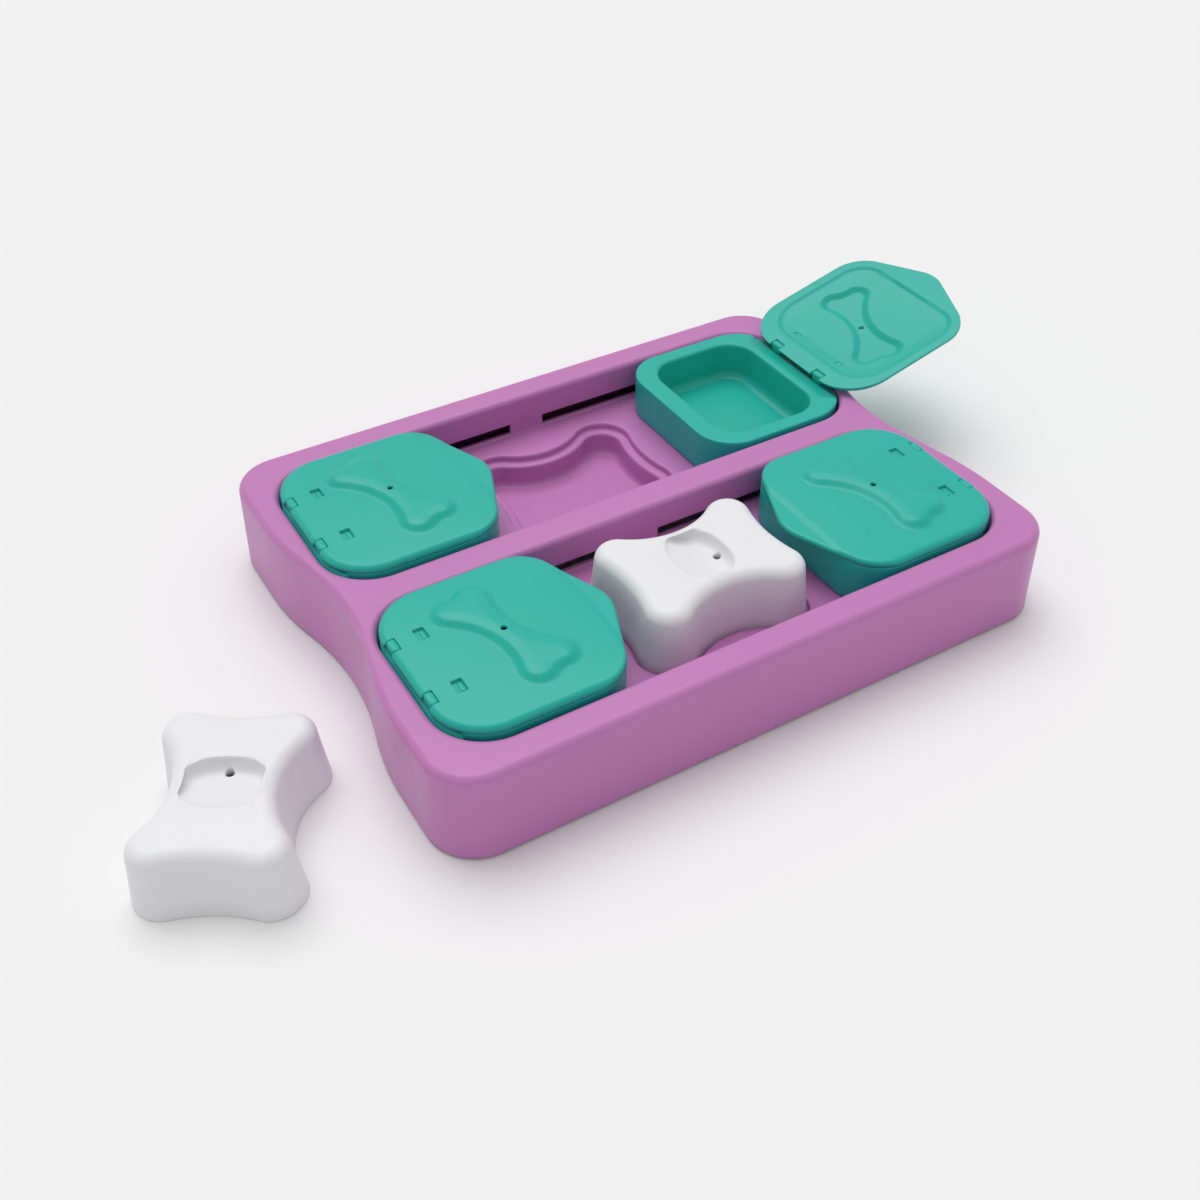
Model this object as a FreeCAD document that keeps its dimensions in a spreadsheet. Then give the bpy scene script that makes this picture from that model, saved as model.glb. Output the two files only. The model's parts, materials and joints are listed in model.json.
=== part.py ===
import FreeCAD, Part
import math
import os
import Sketcher

os.makedirs("parts", exist_ok=True)
doc = FreeCAD.newDocument("puzzle_feeder")
V = FreeCAD.Vector

# Driving dimensions in millimetres and degrees
DIMENSIONS = [
    # The tray: a bone-ended moulding with two long channels
    ("tray_length", 336.0),
    ("tray_width", 260.0),
    ("tray_top", 48.7),
    ("tray_bottom", 1.2),
    ("tray_corner", 24.6),
    ("tray_draft_inset", 1.4),
    ("waist_depth", 10.7),
    ("waist_half_span", 80.0),
    ("shell_wall", 3.0),
    ("top_edge_round", 4.0),
    ("crown_land", 0.5),
    # The channels that the sliders run in
    ("channel_end_margin", 15.2),
    ("channel_side_margin", 18.5),
    ("channel_corner", 27.0),
    ("rib_width", 18.4),
    ("floor_top", 26.0),
    ("floor_thickness", 2.6),
    ("channel_edge_round", 3.0),
    # The slots near the floor of both long walls of each channel
    ("slot_bottom", 26.6),
    ("slot_height", 6.4),
    ("slot_middle_half", 10.0),
    ("slot_end_margin", 27.8),
    # The bone-shaped treat well in the middle of each channel
    ("well_ledge_depth", 3.8),
    ("well_ledge_width", 5.0),
    ("well_floor", 10.0),
    ("well_floor_thickness", 2.4),
    # Rubber feet and the posts that hold them
    ("foot_diameter", 14.0),
    ("foot_height", 3.0),
    ("foot_end_margin", 46.0),
    ("foot_side_margin", 33.0),
    ("post_wall", 3.0),
    ("foot_seat_gap", 0.2),
    # The slider boxes
    ("box_length", 91.0),
    ("box_side_gap", 1.85),
    ("box_end_gap", 0.9),
    ("box_seat_gap", 0.3),
    ("box_height", 23.0),
    ("box_inner_corner", 22.0),
    ("cavity_inset_inner", 12.0),
    ("cavity_inset_side", 9.3),
    ("cavity_inset_outer", 17.0),
    ("cavity_corner", 16.0),
    ("box_floor", 2.4),
    ("cavity_floor_round", 5.0),
    ("tab_height", 5.2),
    ("tab_reach", 2.4),
    ("tab_length", 18.0),
    ("stop_gap", 0.5),
    ("cut_margin", 0.5),
    # The hinge at the outer end of each box
    ("hinge_setback", 3.0),
    ("hinge_height", 1.9),
    ("hinge_ledge_depth", 2.0),
    ("hinge_ledge_length", 7.0),
    ("hinge_spacing", 38.0),
    ("lug_width", 8.0),
    ("lug_length", 4.2),
    ("lug_side_gap", 0.3),
    ("lug_round", 1.6),
    ("pin_diameter", 1.8),
    ("pin_length", 15.0),
    ("pin_clearance", 0.05),
    # The flip lids
    ("lid_thickness", 3.3),
    ("lid_seat_gap", 0.25),
    ("lid_skin", 1.8),
    ("lid_rim", 6.0),
    ("lid_edge_round", 2.2),
    ("lip_reach", 11.0),
    ("lip_thickness", 2.6),
    ("lip_corner", 14.0),
    ("emboss_setback", 45.0),
    ("emboss_turn", 19.0),
    ("emboss_length", 72.0),
    ("emboss_width", 32.0),
    ("emboss_lobe", 9.3),
    ("emboss_waist_half", 8.0),
    ("emboss_notch", 1.2),
    ("emboss_height", 2.4),
    ("emboss_round", 1.9),
    ("emboss_hole", 3.2),
    ("window_length", 5.3),
    ("window_width", 8.0),
    ("window_setback", 13.7),
    ("lid_open_angle", 165.0),
    # The bone covers that close the wells
    ("bone_length", 92.0),
    ("bone_width", 73.0),
    ("bone_lobe", 14.5),
    ("bone_waist_half", 26.0),
    ("bone_end_half", 43.0),
    ("bone_height", 34.0),
    ("bone_draft_inset", 3.0),
    ("bone_wall", 2.6),
    ("bone_top_round", 5.0),
    ("bone_seat_gap", 0.3),
    ("bone_fit_gap", 1.2),
    ("finger_length", 34.0),
    ("finger_width", 22.0),
    ("finger_depth", 8.0),
    ("finger_corner", 10.4),
    ("finger_floor_round", 5.0),
    ("bone_hole", 3.6),
    ("loose_bone_x", -237.0),
    ("loose_bone_y", -61.0),
    ("loose_bone_turn", 59.0),
]


class Size:
    """A length together with the sheet formula that gives it."""

    def __init__(self, value, formula=None):
        self.value = float(value)
        self.formula = formula if formula is not None else repr(float(value))

    def joined(self, other, sign, value):
        return Size(value, "(" + self.formula + " " + sign + " " + other.formula + ")")

    def __add__(self, other):
        other = as_size(other)
        return self.joined(other, "+", self.value + other.value)

    def __sub__(self, other):
        other = as_size(other)
        return self.joined(other, "-", self.value - other.value)

    def __mul__(self, other):
        other = as_size(other)
        return self.joined(other, "*", self.value * other.value)

    def __truediv__(self, other):
        other = as_size(other)
        return self.joined(other, "/", self.value / other.value)

    def __neg__(self):
        return Size(-self.value, "(0 - " + self.formula + ")")


def as_size(number):
    return number if isinstance(number, Size) else Size(number)


def make_sheet():
    """The sheet of driving dimensions, and a Size for each of its cells."""
    sheet = doc.addObject("Spreadsheet::Sheet", "Sizes")
    sizes = {}
    for row, (alias, value) in enumerate(DIMENSIONS, start=1):
        sheet.set("A" + str(row), alias)
        sheet.set("B" + str(row), str(value))
        sheet.setAlias("B" + str(row), alias)
        sizes[alias] = Size(value, "Sizes." + alias)
    doc.recompute()
    return sizes


size = make_sheet()


def plane_of(body, role):
    for feature in body.Origin.OriginFeatures:
        if feature.Role == role:
            return feature


def new_sketch(body, name, role, height):
    """A sketch on one of the body's own planes, lifted by height along its normal."""
    sketch = body.newObject("Sketcher::SketchObject", name)
    sketch.AttachmentSupport = (plane_of(body, role), "")
    sketch.MapMode = "FlatFace"
    height = as_size(height)
    sketch.AttachmentOffset = FreeCAD.Placement(V(0, 0, height.value), FreeCAD.Rotation())
    sketch.setExpression("AttachmentOffset.Base.z", height.formula)
    return sketch


def turn_sketch(sketch, x, angle):
    """Move a sketch along X and turn it about its own normal."""
    lift = sketch.AttachmentOffset.Base.z
    rotation = FreeCAD.Rotation(V(0, 0, 1), angle.value)
    sketch.AttachmentOffset = FreeCAD.Placement(V(x.value, 0, lift), rotation)
    sketch.setExpression("AttachmentOffset.Base.x", x.formula)
    sketch.setExpression("AttachmentOffset.Rotation.Angle", angle.formula)


def bind(sketch, constraint, length):
    index = sketch.addConstraint(constraint)
    sketch.setExpression("Constraints[" + str(index) + "]", length.formula)


def pin_point(sketch, geometry, point, x, y):
    """Hold a point at x, y from the sketch's origin; a zero means on that axis."""
    if x.value == 0:
        sketch.addConstraint(Sketcher.Constraint("PointOnObject", geometry, point, -2))
    else:
        bind(sketch, Sketcher.Constraint("DistanceX", -1, 1, geometry, point, x.value), x)
    if y.value == 0:
        sketch.addConstraint(Sketcher.Constraint("PointOnObject", geometry, point, -1))
    else:
        bind(sketch, Sketcher.Constraint("DistanceY", -1, 1, geometry, point, y.value), y)


def polar(centre, radius, angle):
    return V(centre.x + radius * math.cos(angle), centre.y + radius * math.sin(angle), 0)


def heading(start, end):
    return math.atan2(end.y - start.y, end.x - start.x)


def join_angles(first, second, hollow):
    """Where a straight or a hollow arc leaves one round corner and meets the next.

    Corners run anticlockwise. A straight join touches both circles on their outer side;
    a hollow join is a circle outside both, so its centre lies at the sum of the radii.
    """
    (one, radius_one), (two, radius_two) = first, second
    gap = math.hypot(two.x - one.x, two.y - one.y)
    along = heading(one, two)
    if hollow is None:
        angle = along - math.acos((radius_one - radius_two) / gap)
        return angle, angle, None
    side_one = radius_one + hollow
    side_two = radius_two + hollow
    turn = math.acos((side_one ** 2 + gap ** 2 - side_two ** 2) / (2 * side_one * gap))
    centre = polar(one, side_one, along - turn)
    return heading(one, centre), heading(two, centre), centre


def add_outline(sketch, corners, joins):
    """A closed outline of round corners joined by straights or by hollow arcs.

    corners are (x, y, radius) anticlockwise, and joins[i] follows corner i: None for a
    straight, or the radius of a hollow arc. Every join is tangent at both ends.
    """
    circles = [(V(x.value, y.value, 0), radius.value) for x, y, radius in corners]
    count = len(circles)
    leaves = []
    meets = [None] * count
    centres = []
    for i in range(count):
        hollow = None if joins[i] is None else joins[i].value
        leave, meet, centre = join_angles(circles[i], circles[(i + 1) % count], hollow)
        leaves.append(leave)
        meets[(i + 1) % count] = meet
        centres.append(centre)
    arcs = []
    links = []
    for i in range(count):
        centre, radius = circles[i]
        start = meets[i]
        end = leaves[i]
        while end <= start:
            end += 2 * math.pi
        circle = Part.Circle(centre, V(0, 0, 1), radius)
        arcs.append(sketch.addGeometry(Part.ArcOfCircle(circle, start, end), False))
    for i in range(count):
        here, radius_here = circles[i]
        there, radius_there = circles[(i + 1) % count]
        start = polar(here, radius_here, leaves[i])
        end = polar(there, radius_there, meets[(i + 1) % count])
        if joins[i] is None:
            link = sketch.addGeometry(Part.LineSegment(start, end), False)
            near, far = 1, 2
        else:
            circle = Part.Circle(centres[i], V(0, 0, 1), joins[i].value)
            first = heading(centres[i], end)
            last = heading(centres[i], start)
            while last <= first:
                last += 2 * math.pi
            link = sketch.addGeometry(Part.ArcOfCircle(circle, first, last), False)
            near, far = 2, 1
        links.append(link)
        sketch.addConstraint(Sketcher.Constraint("Tangent", arcs[i], 2, link, near))
        sketch.addConstraint(Sketcher.Constraint("Tangent", link, far, arcs[(i + 1) % count], 1))
    for arc, (x, y, radius) in zip(arcs, corners):
        pin_point(sketch, arc, 3, x, y)
        bind(sketch, Sketcher.Constraint("Radius", arc, radius.value), radius)
    for link, hollow in zip(links, joins):
        if hollow is not None:
            bind(sketch, Sketcher.Constraint("Radius", link, hollow.value), hollow)


def add_circle(sketch, x, y, radius):
    circle = Part.Circle(V(x.value, y.value, 0), V(0, 0, 1), radius.value)
    index = sketch.addGeometry(circle, False)
    pin_point(sketch, index, 3, x, y)
    bind(sketch, Sketcher.Constraint("Radius", index, radius.value), radius)


def add_rectangle(sketch, left, right, low, high):
    """A rectangle between two x and two y values."""
    points = [(left, low), (right, low), (right, high), (left, high)]
    flat = [V(x.value, y.value, 0) for x, y in points]
    lines = []
    for i in range(4):
        lines.append(sketch.addGeometry(Part.LineSegment(flat[i], flat[(i + 1) % 4]), False))
    for i in range(4):
        sketch.addConstraint(Sketcher.Constraint("Coincident", lines[i], 2, lines[(i + 1) % 4], 1))
    for i, kind in enumerate(("Horizontal", "Vertical", "Horizontal", "Vertical")):
        sketch.addConstraint(Sketcher.Constraint(kind, lines[i]))
    pin_point(sketch, lines[0], 1, left, low)
    pin_point(sketch, lines[2], 1, right, high)


def rounded_block(left, right, low, high, left_radius, right_radius):
    """Corners of a rounded rectangle with one radius at each end."""
    return [
        (right - right_radius, low + right_radius, right_radius),
        (right - right_radius, high - right_radius, right_radius),
        (left + left_radius, high - left_radius, left_radius),
        (left + left_radius, low + left_radius, left_radius),
    ]


def hollow_radius(offset, half_gap, lobe):
    """Radius of the hollow arc between two lobes whose middle lies at offset past their centres."""
    return (offset * offset + half_gap * half_gap - lobe * lobe) / ((lobe - offset) * 2)


def bone_outline(length, width, lobe, side_half, end_half, x0, y0):
    """Four lobes with a deep waist on each long side and a shallow one at each end."""
    half_x = length / 2 - lobe
    half_y = width / 2 - lobe
    corners = [
        (x0 + half_x, y0 - half_y, lobe),
        (x0 + half_x, y0 + half_y, lobe),
        (x0 - half_x, y0 + half_y, lobe),
        (x0 - half_x, y0 - half_y, lobe),
    ]
    end_arc = hollow_radius(end_half - half_x, half_y, lobe)
    side_arc = hollow_radius(side_half - half_y, half_x, lobe)
    return corners, [end_arc, side_arc, end_arc, side_arc]


def cover_outline(grow, x0, y0):
    """The foot of a bone cover, grown outwards by an even gap."""
    return bone_outline(
        size["bone_length"] + grow * 2,
        size["bone_width"] + grow * 2,
        size["bone_lobe"] + grow,
        size["bone_waist_half"] + grow,
        size["bone_end_half"] + grow,
        x0,
        y0,
    )


def emboss_outline(inset):
    """The bone raised on a lid, around its own middle, with its length along Y."""
    return bone_outline(
        size["emboss_width"] - inset * 2,
        size["emboss_length"] - inset * 2,
        size["emboss_lobe"] - inset,
        size["emboss_length"] / 2 - size["emboss_notch"] - inset,
        size["emboss_waist_half"] - inset,
        as_size(0),
        as_size(0),
    )


def tray_outline(inset):
    """The tray's outline: round corners and an S-curved waist at each end.

    Each end runs straight from its corner to the waist, then bends in over one convex
    and one hollow arc of equal radius, which meet halfway between lobe and middle.
    """
    lobe = size["tray_corner"] - inset
    half_x = size["tray_length"] / 2 - inset
    half_y = size["tray_width"] / 2 - inset
    span = size["waist_half_span"]
    depth = size["waist_depth"]
    bend = (span * span + depth * depth) / (depth * 4)
    outward = bend - inset
    inward = bend + inset
    corners = [
        (half_x - lobe, lobe - half_y, lobe),
        (half_x - outward, -span, outward),
        (half_x - outward, span, outward),
        (half_x - lobe, half_y - lobe, lobe),
        (lobe - half_x, half_y - lobe, lobe),
        (outward - half_x, span, outward),
        (outward - half_x, -span, outward),
        (lobe - half_x, lobe - half_y, lobe),
    ]
    return corners, [None, inward, None, None, None, inward, None, None]


def new_body(name):
    body = doc.addObject("PartDesign::Body", name)
    body.Label = name
    return body


def pad(body, sketch, height, down=False):
    feature = body.newObject("PartDesign::Pad", sketch.Name + "_pad")
    feature.Profile = sketch
    height = as_size(height)
    feature.Length = height.value
    feature.setExpression("Length", height.formula)
    feature.Reversed = down
    doc.recompute()
    return feature


def pocket(body, sketch, depth, up=False):
    before = body.Shape.Volume
    feature = body.newObject("PartDesign::Pocket", sketch.Name + "_pocket")
    feature.Profile = sketch
    depth = as_size(depth)
    feature.Length = depth.value
    feature.setExpression("Length", depth.formula)
    feature.Reversed = up
    doc.recompute()
    if body.Shape.Volume >= before:
        raise RuntimeError(sketch.Name + " removed nothing")
    return feature


def loft(body, lower, upper):
    feature = body.newObject("PartDesign::AdditiveLoft", lower.Name + "_loft")
    feature.Profile = lower
    feature.Sections = [upper]
    feature.Ruled = True
    doc.recompute()
    return feature


def level_edges(shape, level, keep):
    """Names of the edges that lie at one height and pass the keep test on their middle."""
    names = []
    for index, edge in enumerate(shape.Edges, start=1):
        box = edge.BoundBox
        if abs(box.ZMin - level) > 0.01 or abs(box.ZMax - level) > 0.01:
            continue
        middle = edge.valueAt((edge.FirstParameter + edge.LastParameter) / 2)
        if keep(middle):
            names.append("Edge" + str(index))
    return names


def round_edges(body, base, names, radius):
    feature = body.newObject("PartDesign::Fillet", base.Name + "_round")
    feature.Base = (base, names)
    feature.Radius = radius.value
    feature.setExpression("Radius", radius.formula)
    doc.recompute()
    return feature


# Places that several pieces share
channel_width = (size["tray_width"] - size["rib_width"]) / 2 - size["channel_side_margin"]
channel_y = (size["rib_width"] + channel_width) / 2
channel_end = size["tray_length"] / 2 - size["channel_end_margin"]
slot_outer = channel_end - size["slot_end_margin"]
well_ledge = size["floor_top"] - size["well_ledge_depth"]
box_bottom = size["floor_top"] + size["box_seat_gap"]
rim_top = box_bottom + size["box_height"]
hinge_z = rim_top + size["hinge_height"]
hinge_x = channel_end - size["box_end_gap"] - size["hinge_setback"]
box_half_width = channel_width / 2 - size["box_side_gap"]
box_outer_corner = size["channel_corner"] - size["box_end_gap"]
lid_top = rim_top + size["lid_seat_gap"] + size["lid_thickness"]
foot_x = size["tray_length"] / 2 - size["foot_end_margin"]
foot_y = size["tray_width"] / 2 - size["foot_side_margin"]
foot_radius = size["foot_diameter"] / 2
post_radius = foot_radius + size["foot_seat_gap"] + size["post_wall"]
FOOT_PLACES = [
    ("front_left", -1, -1),
    ("front_right", 1, -1),
    ("rear_left", -1, 1),
    ("rear_right", 1, 1),
    ("middle", 0, 0),
]
SIDES = [("front", -1), ("rear", 1)]
ENDS = [("left", -1), ("right", 1)]


def channel_block(grow, side):
    """One channel's outline, grown outwards by the wall where it is needed."""
    half = channel_width / 2 + grow
    middle = channel_y * side
    end = channel_end + grow
    corner = size["channel_corner"] + grow
    return rounded_block(-end, end, middle - half, middle + half, corner, corner)


def make_tray_shell():
    """The tray: an open-bottomed moulding with two channels, their wells, slots and foot posts."""
    body = new_body("tray_shell")
    top = size["tray_top"]
    base = new_sketch(body, "tray_foot_line", "XY_Plane", size["tray_bottom"])
    add_outline(base, *tray_outline(as_size(0)))
    crown_depth = size["top_edge_round"] + size["crown_land"]
    brow = new_sketch(body, "tray_brow_line", "XY_Plane", top - crown_depth)
    add_outline(brow, *tray_outline(size["tray_draft_inset"]))
    loft(body, base, brow)
    crown = new_sketch(body, "tray_crown", "XY_Plane", top - crown_depth)
    add_outline(crown, *tray_outline(size["tray_draft_inset"]))
    block = pad(body, crown, crown_depth)
    round_edges(
        body, block, level_edges(block.Shape, top.value, lambda p: True), size["top_edge_round"]
    )

    channels = new_sketch(body, "channels", "XY_Plane", top)
    for _, side in SIDES:
        add_outline(channels, channel_block(as_size(0), side), [None] * 4)
    cut = pocket(body, channels, top - size["floor_top"])
    ends_of_rim = channel_end.value + size["channel_edge_round"].value
    half_width = channel_y.value + channel_width.value / 2
    inner = level_edges(
        cut.Shape,
        top.value,
        lambda p: abs(p.x) < ends_of_rim - 1 and abs(p.y) < half_width + 1,
    )
    round_edges(body, cut, inner, size["channel_edge_round"])

    wells = new_sketch(body, "well_mouths", "XY_Plane", size["floor_top"])
    for _, side in SIDES:
        add_outline(wells, *cover_outline(size["bone_fit_gap"], as_size(0), channel_y * side))
    pocket(body, wells, size["well_ledge_depth"])
    deep = new_sketch(body, "well_floors", "XY_Plane", well_ledge)
    grow = size["bone_fit_gap"] - size["well_ledge_width"]
    for _, side in SIDES:
        add_outline(deep, *cover_outline(grow, as_size(0), channel_y * side))
    pocket(body, deep, well_ledge - size["well_floor"])

    wall = size["shell_wall"] + size["tray_draft_inset"]
    under_well = size["well_floor"] - size["well_floor_thickness"]
    under_floor = size["floor_top"] - size["floor_thickness"]
    low = new_sketch(body, "hollow_low", "XY_Plane", size["tray_bottom"])
    add_outline(low, *tray_outline(wall))
    for _, x_side, y_side in FOOT_PLACES:
        add_circle(low, foot_x * x_side, foot_y * y_side, post_radius)
    pocket(body, low, under_well - size["tray_bottom"], up=True)
    middle = new_sketch(body, "hollow_middle", "XY_Plane", under_well)
    add_outline(middle, *tray_outline(wall))
    for _, x_side, y_side in FOOT_PLACES:
        add_circle(middle, foot_x * x_side, foot_y * y_side, post_radius)
    for _, side in SIDES:
        around = size["bone_fit_gap"] + size["well_floor_thickness"]
        add_outline(middle, *cover_outline(around, as_size(0), channel_y * side))
    pocket(body, middle, under_floor - under_well, up=True)
    high = new_sketch(body, "hollow_high", "XY_Plane", under_floor)
    add_outline(high, *tray_outline(wall))
    for _, side in SIDES:
        add_outline(high, channel_block(size["shell_wall"], side), [None] * 4)
    pocket(body, high, top - size["shell_wall"] - under_floor, up=True)

    slots = new_sketch(body, "wall_slots", "XY_Plane", size["slot_bottom"])
    for _, side in SIDES:
        for wall_side in (-1, 1):
            face = channel_y * side + channel_width / 2 * wall_side
            outside = face + size["shell_wall"] * wall_side
            near, far = (face, outside) if wall_side > 0 else (outside, face)
            margin = size["cut_margin"]
            for end in (-1, 1):
                inner_x = size["slot_middle_half"] * end
                outer_x = slot_outer * end
                left, right = (inner_x, outer_x) if end > 0 else (outer_x, inner_x)
                add_rectangle(slots, left, right, near - margin, far + margin)
    pocket(body, slots, size["slot_height"], up=True)

    seats = new_sketch(body, "foot_sockets", "XY_Plane", size["tray_bottom"])
    for _, x_side, y_side in FOOT_PLACES:
        add_circle(
            seats,
            foot_x * x_side,
            foot_y * y_side,
            foot_radius + size["foot_seat_gap"],
        )
    pocket(body, seats, size["foot_height"] - size["tray_bottom"], up=True)
    return body


def make_foot(name, x_side, y_side):
    """A rubber foot pressed up into its socket, standing a little proud of the shell."""
    body = new_body("rubber_foot_" + name)
    disc = new_sketch(body, "foot_disc_" + name, "XY_Plane", 0)
    add_circle(disc, as_size(0), as_size(0), foot_radius)
    pad(body, disc, size["foot_height"])
    place(body, foot_x * x_side, foot_y * y_side, as_size(0), 0)
    return body


def place(body, x, y, z, turn):
    """Put a body at x, y, z, turned by turn degrees about the vertical."""
    body.Placement = FreeCAD.Placement(
        V(x.value, y.value, z.value), FreeCAD.Rotation(V(0, 0, 1), as_size(turn).value)
    )
    for axis, length in (("x", x), ("y", y), ("z", z)):
        body.setExpression("Placement.Base." + axis, length.formula)
    if isinstance(turn, Size):
        body.setExpression("Placement.Rotation.Angle", turn.formula)


def make_slider_box(name, side, end):
    """A treat box with side tabs that run in the slots and two hinge lugs at its outer end.

    Its own frame starts at the outer end, with +X towards the middle of the tray.
    """
    body = new_body("slider_box_" + name)
    width = box_half_width
    length = size["box_length"]
    zero = as_size(0)
    walls = new_sketch(body, "box_walls_" + name, "XY_Plane", 0)
    corners = rounded_block(zero, length, -width, width, box_outer_corner, size["box_inner_corner"])
    add_outline(walls, corners, [None] * 4)
    pad(body, walls, size["box_height"])

    start = channel_end - size["box_end_gap"] - slot_outer + size["stop_gap"]
    reach = channel_width / 2 + size["tab_reach"]
    tab_bottom = size["slot_bottom"] + (size["slot_height"] - size["tab_height"]) / 2 - box_bottom
    tabs = new_sketch(body, "box_tabs_" + name, "XY_Plane", tab_bottom)
    add_rectangle(tabs, start, start + size["tab_length"], -reach, reach)
    pad(body, tabs, size["tab_height"])

    lowered = size["box_height"] - size["hinge_ledge_depth"]
    ledge = new_sketch(body, "hinge_ledge_" + name, "XY_Plane", size["box_height"])
    add_rectangle(ledge, -size["cut_margin"], size["hinge_ledge_length"], -width, width)
    pocket(body, ledge, size["hinge_ledge_depth"])

    lug_top = size["box_height"] + size["hinge_height"] + size["lug_length"] / 2
    lugs = new_sketch(body, "hinge_lugs_" + name, "XY_Plane", lowered)
    for lug_side in (-1, 1):
        middle = size["hinge_spacing"] / 2 * lug_side
        half = size["lug_width"] / 2
        front = size["hinge_setback"] - size["lug_length"] / 2
        add_rectangle(lugs, front, front + size["lug_length"], middle - half, middle + half)
    lug_pad = pad(body, lugs, lug_top - lowered)
    names = [
        "Edge" + str(index)
        for index, edge in enumerate(lug_pad.Shape.Edges, start=1)
        if edge.BoundBox.ZMin > lug_top.value - 0.01 and edge.BoundBox.YLength > 1
    ]
    round_edges(body, lug_pad, names, size["lug_round"])

    bores = new_sketch(body, "lug_bores_" + name, "XZ_Plane", 0)
    add_circle(
        bores,
        size["hinge_setback"],
        size["box_height"] + size["hinge_height"],
        size["pin_diameter"] / 2 + size["pin_clearance"],
    )
    bore = body.newObject("PartDesign::Pocket", "lug_bore_" + name)
    bore.Profile = bores
    bore.Midplane = True
    bore.Length = width.value * 2
    bore.setExpression("Length", (width * 2).formula)
    doc.recompute()

    cavity = new_sketch(body, "box_cavity_" + name, "XY_Plane", size["box_height"])
    corners = rounded_block(
        size["cavity_inset_outer"],
        length - size["cavity_inset_inner"],
        size["cavity_inset_side"] - width,
        width - size["cavity_inset_side"],
        size["cavity_corner"],
        size["cavity_corner"],
    )
    add_outline(cavity, corners, [None] * 4)
    cut = pocket(body, cavity, size["box_height"] - size["box_floor"])
    half_cavity = (width - size["cavity_inset_side"] + size["cut_margin"]).value
    names = level_edges(
        cut.Shape, size["box_floor"].value, lambda p: abs(p.y) < half_cavity and p.x > 1
    )
    round_edges(body, cut, names, size["cavity_floor_round"])
    turn = 0 if end < 0 else 180
    place(body, (channel_end - size["box_end_gap"]) * end, channel_y * side, box_bottom, turn)
    return body


def make_lid(name, side, end, open_angle):
    """A flip lid with a pointed finger lip, a slanting raised bone, windows and hinge notches.

    Its own frame has the hinge axis along Y at the origin, with +X towards the lip.
    """
    body = new_body("flip_lid_" + name)
    width = box_half_width
    bottom = size["lid_seat_gap"] - size["hinge_height"]
    top = bottom + size["lid_thickness"]
    outer = -size["hinge_setback"]
    inner = size["box_length"] - size["hinge_setback"]
    plate = new_sketch(body, "lid_plate_" + name, "XY_Plane", bottom)
    corners = rounded_block(outer, inner, -width, width, box_outer_corner, size["box_inner_corner"])
    add_outline(plate, corners, [None] * 4)
    block = pad(body, plate, size["lid_thickness"])
    block = round_edges(
        body, block, level_edges(block.Shape, top.value, lambda p: True), size["lid_edge_round"]
    )

    lip = new_sketch(body, "lid_lip_" + name, "XY_Plane", bottom)
    tip = inner + size["lip_reach"]
    corner = size["lip_corner"]
    root = inner - size["box_inner_corner"]
    edge = width - size["box_inner_corner"]
    within = size["box_inner_corner"] - size["lid_edge_round"]
    apex = (tip - corner, as_size(0), corner)
    add_outline(lip, [apex, (root, edge, within), (root, -edge, within)], [None] * 3)
    pad(body, lip, size["lip_thickness"])

    pan = new_sketch(body, "lid_pan_" + name, "XY_Plane", bottom)
    rim = size["lid_rim"]
    corners = rounded_block(
        outer + rim * 2,
        inner - rim,
        rim - width,
        width - rim,
        box_outer_corner - rim,
        size["box_inner_corner"] - rim,
    )
    add_outline(pan, corners, [None] * 4)
    pocket(body, pan, size["lid_thickness"] - size["lid_skin"], up=True)

    bone = new_sketch(body, "lid_bone_" + name, "XY_Plane", top)
    turn_sketch(bone, size["emboss_setback"], size["emboss_turn"])
    add_outline(bone, *emboss_outline(as_size(0)))
    raised = pad(body, bone, size["emboss_height"])
    crest = (top + size["emboss_height"]).value
    names = level_edges(raised.Shape, crest, lambda p: True)
    round_edges(body, raised, names, size["emboss_round"])

    under = new_sketch(body, "lid_bone_under_" + name, "XY_Plane", top - size["lid_skin"])
    turn_sketch(under, size["emboss_setback"], size["emboss_turn"])
    add_outline(under, *emboss_outline(size["lid_skin"]))
    pocket(body, under, size["emboss_height"], up=True)

    openings = new_sketch(body, "lid_openings_" + name, "XY_Plane", bottom)
    add_circle(openings, size["emboss_setback"], as_size(0), size["emboss_hole"] / 2)
    window = size["window_setback"] - size["hinge_setback"]
    for hinge_side in (-1, 1):
        middle = size["hinge_spacing"] / 2 * hinge_side
        half = size["window_width"] / 2
        add_rectangle(openings, window, window + size["window_length"], middle - half, middle + half)
    pocket(body, openings, size["lid_thickness"] + size["emboss_height"], up=True)

    notches = new_sketch(body, "lid_notches_" + name, "XY_Plane", bottom)
    for hinge_side in (-1, 1):
        middle = size["hinge_spacing"] / 2 * hinge_side
        half = size["lug_width"] / 2 + size["lug_side_gap"]
        back = size["lug_length"] / 2 + size["stop_gap"]
        add_rectangle(notches, outer - size["cut_margin"], back, middle - half, middle + half)
    pocket(body, notches, size["lid_thickness"], up=True)

    bores = new_sketch(body, "lid_bores_" + name, "XZ_Plane", 0)
    add_circle(bores, as_size(0), as_size(0), size["pin_diameter"] / 2 + size["pin_clearance"])
    bore = body.newObject("PartDesign::Pocket", "lid_bore_" + name)
    bore.Profile = bores
    bore.Midplane = True
    length = size["hinge_spacing"] + size["pin_length"] + size["stop_gap"] * 2
    bore.Length = length.value
    bore.setExpression("Length", length.formula)
    doc.recompute()

    closed = FreeCAD.Rotation(V(0, 0, 1), 0 if end < 0 else 180)
    lifted = FreeCAD.Rotation(V(0, -1, 0), open_angle)
    place(body, hinge_x * end, channel_y * side, hinge_z, 0)
    body.Placement = FreeCAD.Placement(body.Placement.Base, closed * lifted)
    return body


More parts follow.
